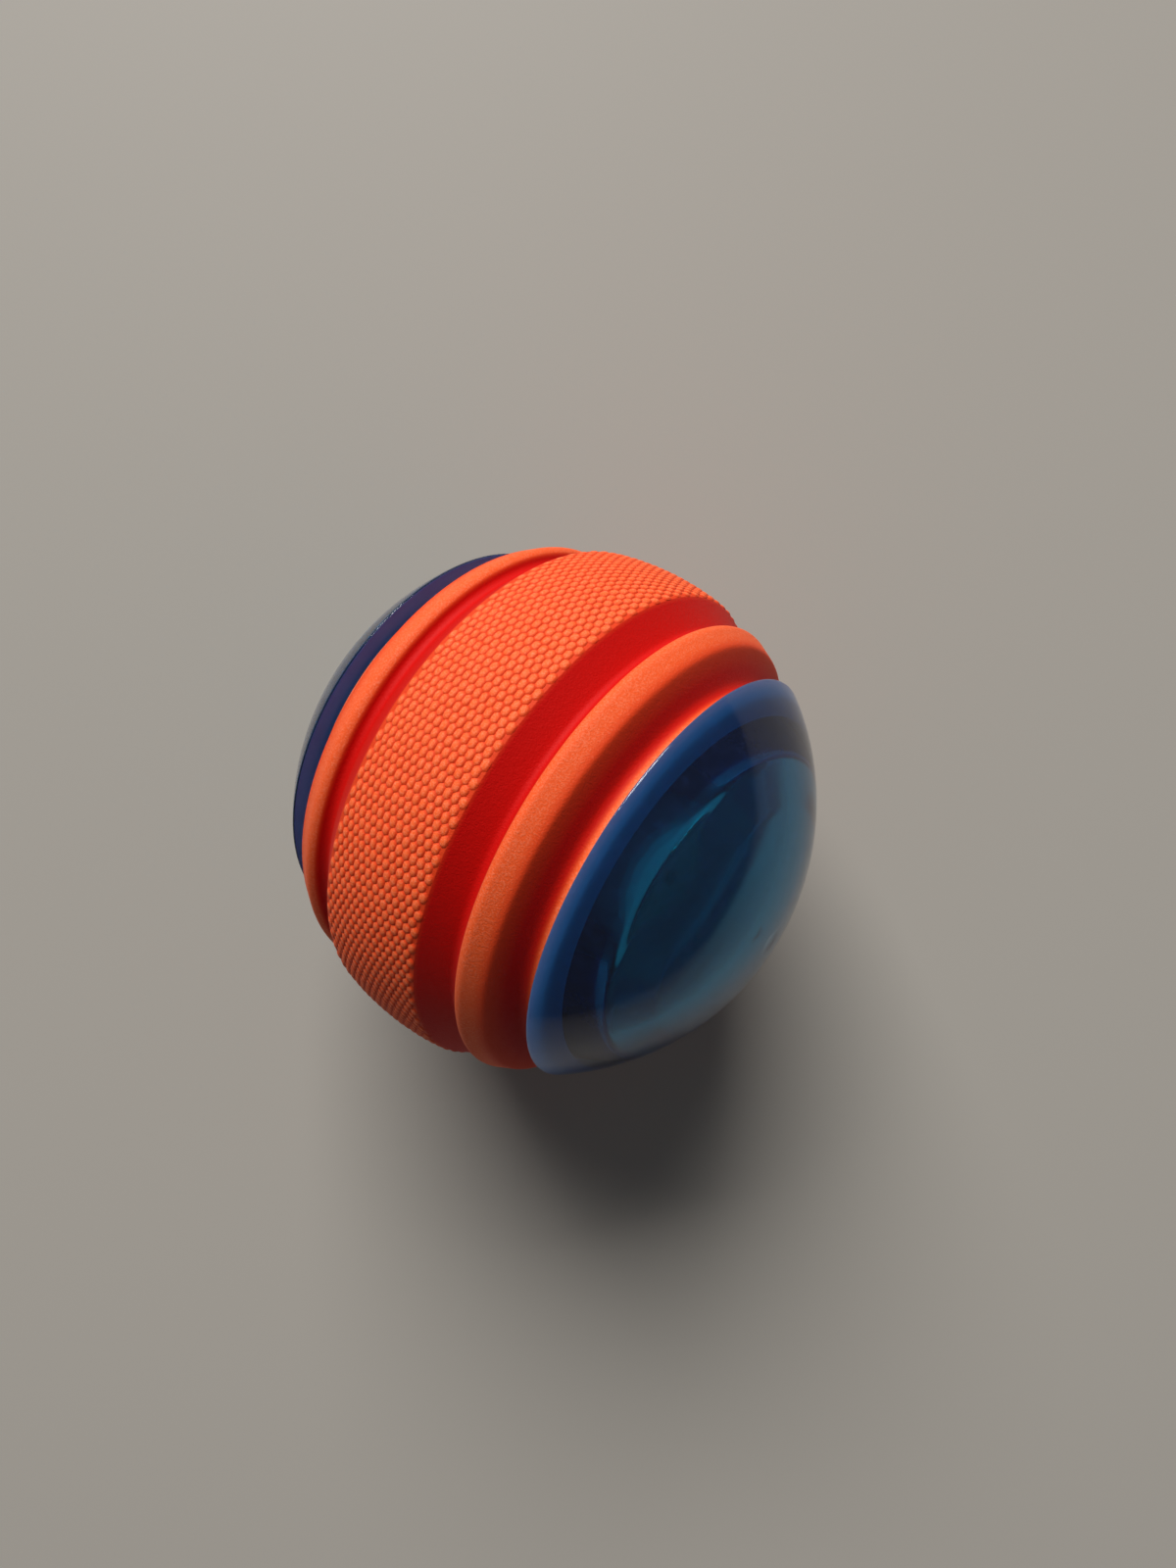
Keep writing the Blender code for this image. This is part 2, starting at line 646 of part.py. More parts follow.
def make_board_parts():
    """Controller chip beside the battery tube, resistors and capacitor behind the board."""
    chip_z = BOARD_NEAR_Z + SOLDER_GAP + CHIP_SIZE[2] / 2
    box("controller_chip", CHIP_SIZE, (LED_CIRCLE, 0.0, chip_z), DARK_PLASTIC, CHIP_BEVEL, CHIP_ANGLE)
    parts = {
        "resistor_1": (RESISTOR_SIZE, RESISTOR_ANGLES[0], DARK_PLASTIC),
        "resistor_2": (RESISTOR_SIZE, RESISTOR_ANGLES[1], DARK_PLASTIC),
        "capacitor": (CAPACITOR_SIZE, CAPACITOR_ANGLE, TAN_CERAMIC),
    }
    for name, (size, angle, material) in parts.items():
        z = BOARD_FAR_Z - SOLDER_GAP - size[2] / 2
        box(name, size, (PASSIVE_CIRCLE, 0.0, z), material, PASSIVE_BEVEL, angle)


def make_battery_tube():
    """Tube that holds the stack of cells, slotted for the side contact."""
    corners = ring_corners(TUBE_BORE, TUBE_RADIUS, BOSS_FOOT_Z, TUBE_TOP_Z)
    tube = turned("battery_tube", corners, CAPSULE_STEPS, DARK_PLASTIC, closed=True)
    low = TUBE_TOP_Z - SIDE_SLOT_DEPTH
    high = TUBE_TOP_Z + CUT_OVERRUN
    size = (2 * (TUBE_WALL + CUT_OVERRUN), CONTACT_WIDTH + 2 * FIT_GAP, high - low)
    centre = (-TUBE_RADIUS, 0.0, (high + low) / 2)
    boolean(tube, add_cutter("side_slot", box_mesh("side_slot", size, centre)), "DIFFERENCE")


def make_cells():
    """Button cells, each with a smaller negative cap at its far end."""
    for i in range(CELL_COUNT):
        low = CELL_FOOT_Z + i * CELL_PITCH
        corners = [
            (0.0, low + CELL_HEIGHT, 0.0),
            (CELL_RADIUS, low + CELL_HEIGHT, CELL_FILLET),
            (CELL_RADIUS, low + CELL_STEP_HEIGHT, 0.0),
            (CELL_STEP_RADIUS, low + CELL_STEP_HEIGHT, 0.0),
            (CELL_STEP_RADIUS, low, 0.0),
            (0.0, low, 0.0),
        ]
        turned(f"button_cell_{i + 1}", corners, SMALL_STEPS, STEEL)


def make_contacts():
    """A folded leaf under the stack and a long strip that springs against the top cell's side."""
    half = CONTACT_THICKNESS / 2
    foot = BOARD_NEAR_Z + SOLDER_GAP + half
    top = CELL_FOOT_Z - FIT_GAP - half
    leaf = [
        (CONTACT_REACH, foot, 0.0),
        (-CONTACT_REACH, foot, CONTACT_BEND),
        (-CONTACT_REACH / 2, top, CONTACT_BEND),
        (CONTACT_REACH / 2, top, CONTACT_BEND),
        (CONTACT_REACH, (top + foot) / 2, 0.0),
    ]
    strip("negative_contact", leaf, CONTACT_WIDTH, CONTACT_THICKNESS, STEEL)
    outside = TUBE_RADIUS + FIT_GAP + half
    touch = CELL_RADIUS + FIT_GAP + half
    middle = TUBE_TOP_Z - CELL_HEIGHT / 2
    bend = middle - CELL_HEIGHT / 2
    side = [
        (-outside - CONTACT_FOOT, foot, 0.0),
        (-outside, foot, CONTACT_BEND),
        (-outside, bend, CONTACT_BEND),
        (-touch, middle, CONTACT_BEND),
        (-outside, TUBE_TOP_Z, 0.0),
    ]
    strip("positive_contact", side, CONTACT_WIDTH, CONTACT_THICKNESS, STEEL)


def make_battery_lid():
    """Quarter-turn lid: a plug with two lugs, a sealed head and a coin slot."""
    plug = CELL_RADIUS
    groove_in = LID_SEAL_CIRCLE - LID_SEAL_WIRE_RADIUS - SOLDER_GAP
    groove_out = LID_SEAL_CIRCLE + LID_SEAL_WIRE_RADIUS + SOLDER_GAP
    groove_top = LID_HEAD_Z + 2 * LID_SEAL_WIRE_RADIUS + SOLDER_GAP
    corners = [
        (0.0, LID_TOP_Z, 0.0),
        (LID_HEAD_RADIUS, LID_TOP_Z, LID_FILLET),
        (LID_HEAD_RADIUS, LID_HEAD_Z, 0.0),
        (groove_out, LID_HEAD_Z, 0.0),
        (groove_out, groove_top, 0.0),
        (groove_in, groove_top, 0.0),
        (groove_in, LID_HEAD_Z, 0.0),
        (plug, LID_HEAD_Z, 0.0),
        (plug, PLUG_FOOT_Z, 0.0),
        (0.0, PLUG_FOOT_Z, 0.0),
    ]
    lid = turned("battery_lid", corners, CAPSULE_STEPS, DARK_PLASTIC)
    lugs = (2 * (plug + LUG_REACH), LUG_WIDTH, LUG_HEIGHT)
    middle = (0.0, 0.0, (PLUG_FOOT_Z + LUG_TOP_Z) / 2)
    boolean(lid, add_cutter("lugs", box_mesh("lugs", lugs, middle)), "UNION")
    slot = (COIN_SLOT_LENGTH, COIN_SLOT_WIDTH, 2 * COIN_SLOT_DEPTH)
    top = (0.0, 0.0, LID_TOP_Z)
    boolean(lid, add_cutter("coin_slot", box_mesh("coin_slot", slot, top)), "DIFFERENCE")
    seal_ring("lid_seal", LID_SEAL_CIRCLE, LID_HEAD_Z + LID_SEAL_WIRE_RADIUS, LID_SEAL_WIRE_RADIUS)


def make_power_button():
    """Round button set just below the far dome's pole, with a flange inside and a long stem."""
    face = []
    for radius, z, _ in dome_arc(BUTTON_RADIUS, 0.0, ROOF_ARC_STEPS, BUTTON_RECESS):
        face.append((radius, -z, 0.0))
    corners = [
        (0.0, STEM_TIP_Z, 0.0),
        (STEM_RADIUS, STEM_TIP_Z, TIP_FILLET),
        (STEM_RADIUS, BUTTON_FLANGE_Z, 0.0),
        (BUTTON_FLANGE_RADIUS, BUTTON_FLANGE_Z, 0.0),
        (BUTTON_FLANGE_RADIUS, BUTTON_SHOULDER_Z, 0.0),
        (BUTTON_RADIUS, BUTTON_SHOULDER_Z, 0.0),
    ]
    turned("power_button", corners + face, SMALL_STEPS, BUTTON_RUBBER)


def spring_path():
    """Centre line of the button's return spring, with a short straight lead at each end."""
    lead = 2 * SPRING_WIRE_RADIUS
    low = BUTTON_FLANGE_Z + FIT_GAP
    high = FAR_END_Z - FIT_GAP
    rise = high - low - 2 * lead
    count = SPRING_TURNS * SPRING_POINTS_PER_TURN
    points = [Vector((SPRING_RADIUS, 0.0, low))]
    for i in range(count + 1):
        angle = 2 * math.pi * i / SPRING_POINTS_PER_TURN
        z = low + lead + rise * i / count
        points.append(Vector((SPRING_RADIUS * math.cos(angle), SPRING_RADIUS * math.sin(angle), z)))
    points.append(Vector((SPRING_RADIUS, 0.0, high)))
    return points


def least_gap(points, wire_radius, apart):
    """Least clear distance between stretches of a wire that are at least so many points apart."""
    gap = math.inf
    for i, first in enumerate(points):
        for second in points[i + apart :]:
            gap = min(gap, (second - first).length)
    return gap - 2 * wire_radius


def make_button_spring():
    """Helical spring round the stem, between the button's flange and the capsule."""
    path = spring_path()
    gap = least_gap(path, SPRING_WIRE_RADIUS, SPRING_POINTS_PER_TURN // 2 + 1)
    print(f"button spring: least gap to itself {gap:.2f} mm")
    curve = bpy.data.curves.new("button_spring", "CURVE")
    curve.dimensions = "3D"
    curve.bevel_depth = SPRING_WIRE_RADIUS * MM
    curve.bevel_resolution = 1
    curve.use_fill_caps = True
    spline = curve.splines.new("POLY")
    spline.points.add(len(path) - 1)
    for point, place in zip(spline.points, path):
        point.co = (*(place * MM), 1.0)
    add_piece("button_spring", curve, STEEL)


def shade_round(piece):
    """Settle a piece's modifiers into its mesh and shade it smooth between sharp edges."""
    graph = bpy.context.evaluated_depsgraph_get()
    mesh = bpy.data.meshes.new_from_object(piece.evaluated_get(graph))
    mesh.name = piece.name
    mesh.shade_smooth()
    mesh.set_sharp_from_angle(angle=SHARP_ANGLE)
    return mesh


def settle_all():
    """Settle every piece, once all of them stand."""
    bpy.context.view_layer.update()
    pieces = [piece for piece in PIECES.objects if piece.type == "MESH"]
    meshes = [shade_round(piece) for piece in pieces]
    for piece, mesh in zip(pieces, meshes):
        piece.modifiers.clear()
        piece.data = mesh


clear_scene()
PIECES = new_collection("light_up_dog_ball")
CUTTERS = new_collection("cutters")
AXIS = leaning_axis()

# Finishes
FOAM_RUBBER = finish_of("orange_foam_rubber", (0.95, 0.13, 0.035), 0.75)
CLEAR_BLUE = finish_of("clear_blue_plastic", (0.01, 0.06, 0.16), 0.12)
CLEAR_PLASTIC = finish_of("clear_plastic", (0.80, 0.83, 0.85), 0.15)
DARK_PLASTIC = finish_of("black_plastic", (0.02, 0.02, 0.022), 0.45)
BUTTON_RUBBER = finish_of("blue_button_rubber", (0.015, 0.035, 0.12), 0.55)
SEAL_RUBBER = finish_of("black_seal_rubber", (0.03, 0.03, 0.03), 0.6)
BOARD_GREEN = finish_of("green_circuit_board", (0.01, 0.12, 0.05), 0.4)
TAN_CERAMIC = finish_of("tan_ceramic", (0.45, 0.30, 0.16), 0.5)
STEEL = finish_of("nickel_plated_steel", (0.66, 0.64, 0.60), 0.3, 1.0)

make_rubber_body()
make_near_dome()
make_far_dome()
make_capsule_near()
make_capsule_far()
make_capsule_seal()
make_case_screws()
make_circuit_board()
make_switch()
make_switch_plunger()
make_leds()
make_board_parts()
make_battery_tube()
make_cells()
make_contacts()
make_battery_lid()
make_power_button()
make_button_spring()
settle_all()
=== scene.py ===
"""Looks of the light-up dog ball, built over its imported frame.

Shapes are drawn in millimetres about the ball's own axis: z runs up it towards the pull-off
dome, and the radius runs out from it. LEANED turns them into the frame's metres.
"""

import json
import math
from functools import partial

import bmesh
import bpy
import numpy as np
from mathutils import Matrix, Vector


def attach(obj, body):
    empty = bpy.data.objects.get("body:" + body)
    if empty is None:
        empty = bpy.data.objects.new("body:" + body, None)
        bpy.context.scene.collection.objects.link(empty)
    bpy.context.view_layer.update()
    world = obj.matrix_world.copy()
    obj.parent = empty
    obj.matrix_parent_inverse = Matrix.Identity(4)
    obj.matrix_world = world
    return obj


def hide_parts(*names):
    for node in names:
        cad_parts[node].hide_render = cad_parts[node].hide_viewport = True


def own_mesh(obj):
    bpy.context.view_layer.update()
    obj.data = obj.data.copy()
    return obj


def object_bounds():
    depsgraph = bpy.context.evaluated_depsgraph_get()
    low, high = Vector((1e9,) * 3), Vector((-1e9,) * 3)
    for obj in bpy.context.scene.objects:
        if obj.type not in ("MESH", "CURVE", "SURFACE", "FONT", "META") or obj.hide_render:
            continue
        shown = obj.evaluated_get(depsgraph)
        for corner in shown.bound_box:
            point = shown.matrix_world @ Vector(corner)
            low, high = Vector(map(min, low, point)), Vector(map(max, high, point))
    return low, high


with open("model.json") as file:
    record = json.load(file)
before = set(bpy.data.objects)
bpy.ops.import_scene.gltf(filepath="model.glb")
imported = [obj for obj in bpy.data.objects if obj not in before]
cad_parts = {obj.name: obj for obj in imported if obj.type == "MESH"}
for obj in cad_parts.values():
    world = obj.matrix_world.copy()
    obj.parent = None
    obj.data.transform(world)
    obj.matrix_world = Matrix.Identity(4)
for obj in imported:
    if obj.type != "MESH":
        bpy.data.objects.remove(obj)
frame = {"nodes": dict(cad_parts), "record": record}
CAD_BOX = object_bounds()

MM = 0.001

# How the ball lies
LEAN = math.radians(27.4991)
LEANED = Matrix.Rotation(math.pi / 2 - LEAN, 4, "Y") @ Matrix.Scale(MM, 4)
TURNED_OVER = Matrix.Rotation(math.pi, 4, "X")

# The rubber ring, in millimetres, as the frame has it
BALL_RADIUS = 32.5
BELT_HALF_WIDTH = 6.75
BELT_EDGE_FILLET = 0.25
NECK_RADIUS = 24.7
NECK_END_Z = 18.0
BODY_SIDE = [
    # radius, z, fillet
    (NECK_RADIUS, NECK_END_Z, 0.4),
    (NECK_RADIUS, 16.2, 1.2),
    (28.9, 14.3, 1.0),
    (30.5, 11.3, 1.0),
    (28.3, 10.3, 0.8),
]
BORE_RADIUS = 21.3
WAIST_RADIUS = 14.0
WAIST_LOW_Z = -7.4
WAIST_HIGH_Z = 9.7
MOUTH_FILLET = 0.3

# The domes, in millimetres, as the frame has them
RIM_RADIUS = 26.7
RIM_Z = 18.6
RIM_FILLET = 0.35
POLE_Z = 31.7
FACE_Z = 18.3
FACE_FILLET = 0.2
MATT_BELOW_Z = 18.35
DOME_WALL = 3.5
CAVITY_RADIUS = 18.5
CAVITY_FILLET = 1.2
CAVITY_ROOF_RADIUS = 0.75 * CAVITY_RADIUS
SPIGOT_RADIUS = 21.0
SPIGOT_END_Z = 10.0
SPIGOT_LEAD_IN = 0.8
SPIGOT_FILLET = 0.1
GATE_RADIUS = 1.5
GATE_FLAT_RADIUS = 0.9
GATE_FILLET = 0.3
GATE_DEPTH = 0.06
BUTTON_HOLE = 5.2
CAP_RADIUS = ((POLE_Z - RIM_Z) ** 2 + RIM_RADIUS**2) / (2 * (POLE_Z - RIM_Z))
CAP_CENTRE_Z = POLE_Z - CAP_RADIUS

# Fineness of the skins
SKIN_STEPS = 240
DOME_STEPS = 192
BELT_ARC_STEPS = 16
FILLET_STEP = math.radians(12.0)
LONGEST_STEP = 0.45
FILLET_SHARE = 0.48
AT_POLE = 1e-6
CREASE = math.radians(30.0)
FRAME_CREASE = math.radians(35.0)

# How pale the rubber is painted, by the distance from the belt's middle in millimetres: 0 is painted
# shade in the grooves and on the ridges' outer walls, 0.4 is half shade on the belt between the bumps,
# and past 1 is a painted pink sheen on the neck beside the domes
SHADE_AND_SHEEN_BY_Z = [
    (0.0, 0.4),
    (6.7, 0.4),
    (6.85, 0.0),
    (10.8, 0.0),
    (11.1, 0.85),
    (13.2, 0.8),
    (14.4, 0.35),
    (15.4, 0.0),
    (16.6, 0.05),
    # the neck beside the domes: a painted pink sheen, paler than any lit rubber
    (17.1, 0.8),
    (17.6, 1.4),
    (18.0, 1.7),
]
BORE_PALENESS = 0.3
BORE_SKIN_RADIUS = 24.5

# Belt bumps, measured in the photo: staggered pads
BUMP_LINES = 184
BUMPS_ACROSS = 14
BUMP_PITCH = 0.923
BUMP_HEIGHT = 0.2
BUMP_LENGTH = 1.56
BUMP_WIDTH = 1.1
BUMP_LEAN = 0.13
BUMP_SINK = 0.03
BUMP_UNEVENNESS = 0.06
BUMP_SEED = 7
BUMP_CORNERS = 10
BUMP_SQUARENESS = 3
BUMP_LEVELS = [
    # reach, height and paleness of each ring of a pad whose size is 1: painted shade at its foot,
    # paler towards its top
    (1.0, -0.3, 0.35),
    (0.82, 0.25, 0.45),
    (0.58, 0.7, 0.85),
    (0.3, 0.93, 1.0),
]

# How far each pad strays, in shares of the unevenness
STRAYING = {
    "row": (-0.45, 0.45),
    "line": (-0.45, 0.45),
    "tip": (-0.5, 0.5),
    "roll": (-0.5, 0.5),
    "twist": (-1.2, 1.2),
    "length": (-1.0, 1.0),
    "width": (-1.0, 1.0),
    "height lost": (0.0, 3.0),
}

# How rough the blue plastic is and how much light its cloud scatters, on its skin and its matt face
SKIN_HAZE = 0.08
FACE_HAZE = 0.5
SKIN_CLOUD = 0.045
FACE_CLOUD = 0.5
SCUFF_HAZE = 0.06
CLOUD_PASSED = 0.5

# The floor and the light, in metres and watts; the window stands beyond the photo's top edge
FLOOR_WIDTH = 3.4
SKY_STRENGTH = 0.1
WINDOW_WIDTH = 1.6
WINDOW_HEIGHT = 1.2
WINDOW_POWER = 90.0
WINDOW_DISTANCE = 2.48
WINDOW_ELEVATION = math.radians(38.0)
WINDOW_TURN = math.radians(103.0)

# Where the photo was taken from, in pixels and millimetres
PHOTO_SIZE = (1200, 1600)
SENSOR = 36.0
FOCAL_PIXELS = 1057.0
BALL_AT = (570.0, 825.3)
CAMERA_DISTANCE = 131.6
AXIS_FALL = math.radians(31.3)
AXIS_TILT = math.radians(25.4)

# Sockets that share their names with others: a Mix node's colours, a Random Value's numbers
MIX_FACTOR, MIX_FIRST, MIX_SECOND, MIXED = 0, 6, 7, 2
LEAST, MOST, CHANCE_SEED, CHANCE = 2, 3, 8, 1

MATHS = "ShaderNodeMath"
RANGE = "ShaderNodeMapRange"
NOISE = "ShaderNodeTexNoise"


def linear(code):
    """A linear colour from its sRGB hex code."""
    out = []
    for i in (0, 2, 4):
        value = int(code[i : i + 2], 16) / 255
        out.append(value / 12.92 if value <= 0.04045 else ((value + 0.055) / 1.055) ** 2.4)
    return (*out, 1.0)


def add_node(tree, kind, inputs=(), **settings):
    """A node with its settings; each input is a value, a socket, or a node's first output."""
    made = tree.nodes.new(kind)
    for name, value in settings.items():
        setattr(made, name, value)
    pairs = inputs.items() if isinstance(inputs, dict) else enumerate(inputs)
    for key, value in pairs:
        if isinstance(value, bpy.types.Node):
            value = value.outputs[0]
        if isinstance(value, bpy.types.NodeSocket):
            tree.links.new(value, made.inputs[key])
        else:
            made.inputs[key].default_value = value
    return made


def new_material(name):
    """An empty node material, and the function that adds a node to it."""
    made = bpy.data.materials.new(name)
    made.use_nodes = True
    made.node_tree.nodes.clear()
    return made, partial(add_node, made.node_tree)


def foam_rubber():
    """Moulded orange foam rubber: dull, orange where it stands proud, with deep red painted shade in
    the grooves and between the bumps, and a painted pink sheen on the neck beside the domes.
    """
    grain_size = 0.2
    grain_depth = 0.06
    pore_size = 0.5
    pore_depth = 0.03
    made, add = new_material("orange_foam_rubber")
    place = add("ShaderNodeTexCoord").outputs["Object"]
    painted_paleness = add("ShaderNodeAttribute", attribute_name="finish_and_painted_light").outputs["Fac"]
    inputs = {"Vector": place, "Scale": 1 / (grain_size * MM), "Detail": 3.0, "Roughness": 0.65}
    grain = add(NOISE, inputs)
    pores = add(NOISE, {"Vector": place, "Scale": 1 / (pore_size * MM)})
    # low values paint the grooves and the feet of the bumps deep red, a painted shade; high values
    # give the proud orange
    inputs = {MIX_FACTOR: painted_paleness, MIX_FIRST: linear("C40300"), MIX_SECOND: linear("F26029")}
    base = add("ShaderNodeMix", inputs, data_type="RGBA").outputs[MIXED]
    # pale pink specks on what stands proud; past 1, beside the domes, they merge into a painted pink
    # sheen
    specks = add(RANGE, [grain, 0.3, 0.7, 0.0, 1.0])
    pink_specks_and_sheen = add(MATHS, [specks, painted_paleness], operation="MULTIPLY")
    pink_specks_and_sheen = add(RANGE, [pink_specks_and_sheen, 0.3, 1.0, 0.0, 0.5])
    inputs = {MIX_FACTOR: pink_specks_and_sheen, MIX_FIRST: base, MIX_SECOND: linear("FF9A78")}
    colour = add("ShaderNodeMix", inputs, data_type="RGBA").outputs[MIXED]
    grained = add("ShaderNodeBump", {"Height": grain, "Distance": grain_depth * MM})
    inputs = {"Height": pores, "Distance": pore_depth * MM, "Normal": grained}
    surface = add("ShaderNodeBump", inputs)
    shader = add("ShaderNodeBsdfPrincipled", {
        "Base Color": colour,
        "Roughness": 0.6,
        "Specular IOR Level": 0.15,
        "Sheen Weight": 0.04,
        "Sheen Roughness": 0.5,
        "Sheen Tint": linear("FFC8A8"),
        "Normal": surface,
    })
    add("ShaderNodeOutputMaterial", {"Surface": shader})
    return made


def blue_plastic():
    """Thick clear blue PVC: glossy skin with faint scuffs, colour that deepens with thickness."""
    ripple_size = 9.0
    ripple_depth = 0.05
    scuff_size = 1.5
    made, add = new_material("clear_blue_plastic")
    place = add("ShaderNodeTexCoord").outputs["Object"]
    frost = add("ShaderNodeAttribute", attribute_name="finish_and_painted_light").outputs["Fac"]
    waves = add(NOISE, {"Vector": place, "Scale": 1 / (ripple_size * MM), "Detail": 1.0})
    ripple = add("ShaderNodeBump", {"Height": waves, "Distance": ripple_depth * MM})
    inputs = {"Vector": place, "Scale": 1 / (scuff_size * MM), "Detail": 6.0, "Roughness": 0.75}
    scuffs = add(NOISE, inputs)
    scuffs = add(RANGE, [scuffs, 0.5, 0.75, 0.0, SCUFF_HAZE])
    haze = add(RANGE, [frost, 0.0, 1.0, SKIN_HAZE, FACE_HAZE])
    haze = add(MATHS, [haze, scuffs], operation="ADD")
    clear = add("ShaderNodeBsdfPrincipled", {
        "Base Color": linear("F2FAFF"),
        "Roughness": haze,
        "IOR": 1.5,
        "Transmission Weight": 1.0,
        "Normal": ripple,
    })
    inputs = {"Color": linear("6C90F3"), "Normal": ripple}
    back = add("ShaderNodeBsdfDiffuse", inputs)
    through = add("ShaderNodeBsdfTranslucent", inputs)
    cloudy = add("ShaderNodeMixShader", [CLOUD_PASSED, back, through])
    cloud = add(RANGE, [frost, 0.0, 1.0, SKIN_CLOUD, FACE_CLOUD])
    cloud = add(MATHS, [cloud, scuffs], operation="ADD")
    shader = add("ShaderNodeMixShader", [cloud, clear, cloudy])
    depth = add("ShaderNodeVolumeAbsorption", {"Color": linear("00E7F0"), "Density": 800.0})
    add("ShaderNodeOutputMaterial", {"Surface": shader, "Volume": depth})
    return made


def pale_plastic(name, code, clearness):
    """Moulded acrylic between milky and clear: smooth, with slight clouds in its gloss."""
    cloud_size = 4.0
    made, add = new_material(name)
    place = add("ShaderNodeTexCoord").outputs["Object"]
    clouds = add(NOISE, {"Vector": place, "Scale": 1 / (cloud_size * MM)})
    shader = add("ShaderNodeBsdfPrincipled", {
        "Base Color": linear(code),
        "Roughness": add(RANGE, [clouds, 0.3, 0.7, 0.2, 0.26]),
        "IOR": 1.49,
        "Transmission Weight": clearness,
    })
    add("ShaderNodeOutputMaterial", {"Surface": shader})
    return made


def opaque(name, code, roughness, metallic=0.0):
    """An opaque finish with the faint grain of its mould or plating."""
    grain_size = 0.4
    grain_depth = 0.01
    made, add = new_material(name)
    place = add("ShaderNodeTexCoord").outputs["Object"]
    grain = add(NOISE, {"Vector": place, "Scale": 1 / (grain_size * MM), "Detail": 3.0})
    fade = add(RANGE, [grain, 0.3, 0.7, 0.0, 0.12])
    inputs = {MIX_FACTOR: fade, MIX_FIRST: linear(code), MIX_SECOND: linear("808080")}
    shader = add("ShaderNodeBsdfPrincipled", {
        "Base Color": add("ShaderNodeMix", inputs, data_type="RGBA").outputs[MIXED],
        "Metallic": metallic,
        "Roughness": roughness,
        "Normal": add("ShaderNodeBump", {"Height": grain, "Distance": grain_depth * MM}),
    })
    add("ShaderNodeOutputMaterial", {"Surface": shader})
    return made


def rounded(before, corner, after, fillet):
    """The arc that rounds one corner of a profile."""
    here = Vector(corner)
    back = Vector(before) - here
    ahead = Vector(after) - here
    half = back.angle(ahead) / 2
    reach = min(fillet / math.tan(half), FILLET_SHARE * min(back.length, ahead.length))
    radius = reach * math.tan(half)
    centre = here + (back.normalized() + ahead.normalized()).normalized() * radius / math.sin(half)
    first = here + back.normalized() * reach - centre
    last = here + ahead.normalized() * reach - centre
    sweep = first.angle_signed(last)
    count = max(1, round(abs(sweep) / FILLET_STEP))
    return [tuple(centre + Matrix.Rotation(-sweep * i / count, 2) @ first) for i in range(count + 1)]


def outline(corners, closed):
    """Points of a profile given as (radius, z, fillet) corners, with long sides divided."""
    points = []
    count = len(corners)
    for i, (radius, z, fillet) in enumerate(corners):
        if fillet == 0.0 or (not closed and i in (0, count - 1)):
            points.append((radius, z))
            continue
        points.extend(rounded(corners[i - 1][:2], (radius, z), corners[(i + 1) % count][:2], fillet))
    fine = []
    ends = points[1:] + points[:1] if closed else points[1:]
    for first, last in zip(points, ends):
        parts = max(1, math.ceil(math.dist(first, last) / LONGEST_STEP))
        for k in range(parts):
            fine.append(tuple(a + (b - a) * k / parts for a, b in zip(first, last)))
    if not closed:
        fine.append(points[-1])
    return fine


def turned_skin(name, corners, steps, closed, finish_and_painted_light, place=LEANED):
    """A profile turned about the ball's axis, with a value a function gives each point: frost on the
    plastic, painted shade and sheen on the rubber.
    """
    mesh = bpy.data.meshes.new(name)
    made = bmesh.new()
    level = made.verts.layers.float.new("finish_and_painted_light")
    rings = []
    for radius, z in outline(corners, closed):
        count = steps if radius > AT_POLE else 1
        ring = []
        for k in range(count):
            angle = 2 * math.pi * k / steps
            vert = made.verts.new((radius * math.cos(angle), radius * math.sin(angle), z))
            vert[level] = finish_and_painted_light(radius, z)
            ring.append(vert)
        rings.append(ring)
    pairs = list(zip(rings, rings[1:]))
    if closed:
        pairs.append((rings[-1], rings[0]))
    for first, second in pairs:
        for k in range(steps):
            ahead = (k + 1) % steps
            corner = [first[k % len(first)], first[ahead % len(first)]]
            corner += [second[ahead % len(second)], second[k % len(second)]]
            made.faces.new(list(dict.fromkeys(corner)))
    bmesh.ops.recalc_face_normals(made, faces=made.faces)
    made.to_mesh(mesh)
    made.free()
    mesh.transform(place)
    mesh.shade_smooth()
    mesh.set_sharp_from_angle(angle=CREASE)
    return mesh


def add_piece(name, mesh, material, body, node=None):
    """A finished piece that rides on a body and, where a node is given, stands for it."""
    piece = bpy.data.objects.new(name, mesh)
    bpy.context.scene.collection.objects.link(piece)
    mesh.materials.clear()
    mesh.materials.append(material)
    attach(piece, body)
    if node:
        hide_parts(node)
    return piece


def painted_shade_and_sheen(radius, z):
    """How pale the rubber is painted: 0 for painted shade in the grooves, most for the painted sheen
    on the neck beside the domes.
    """
    if radius < BORE_SKIN_RADIUS:
        return BORE_PALENESS
    return float(np.interp(abs(z), *zip(*SHADE_AND_SHEEN_BY_Z)))


def how_frosted(radius, z):
    """How matt the blue plastic is: 1 on the face and the spigot that sit in the rubber, else 0."""
    return 1.0 if z < MATT_BELOW_Z and radius > CAVITY_RADIUS + SPIGOT_FILLET else 0.0


def belt_arc(radius):
    """The belt's crown from its upper edge to its lower one."""
    edge = math.asin(BELT_HALF_WIDTH / BALL_RADIUS)
    corners = []
    for i in range(BELT_ARC_STEPS + 1):
        angle = edge * (1 - 2 * i / BELT_ARC_STEPS)
        fillet = BELT_EDGE_FILLET if i in (0, BELT_ARC_STEPS) else 0.0
        corners.append((radius * math.cos(angle), BALL_RADIUS * math.sin(angle), fillet))
    return corners


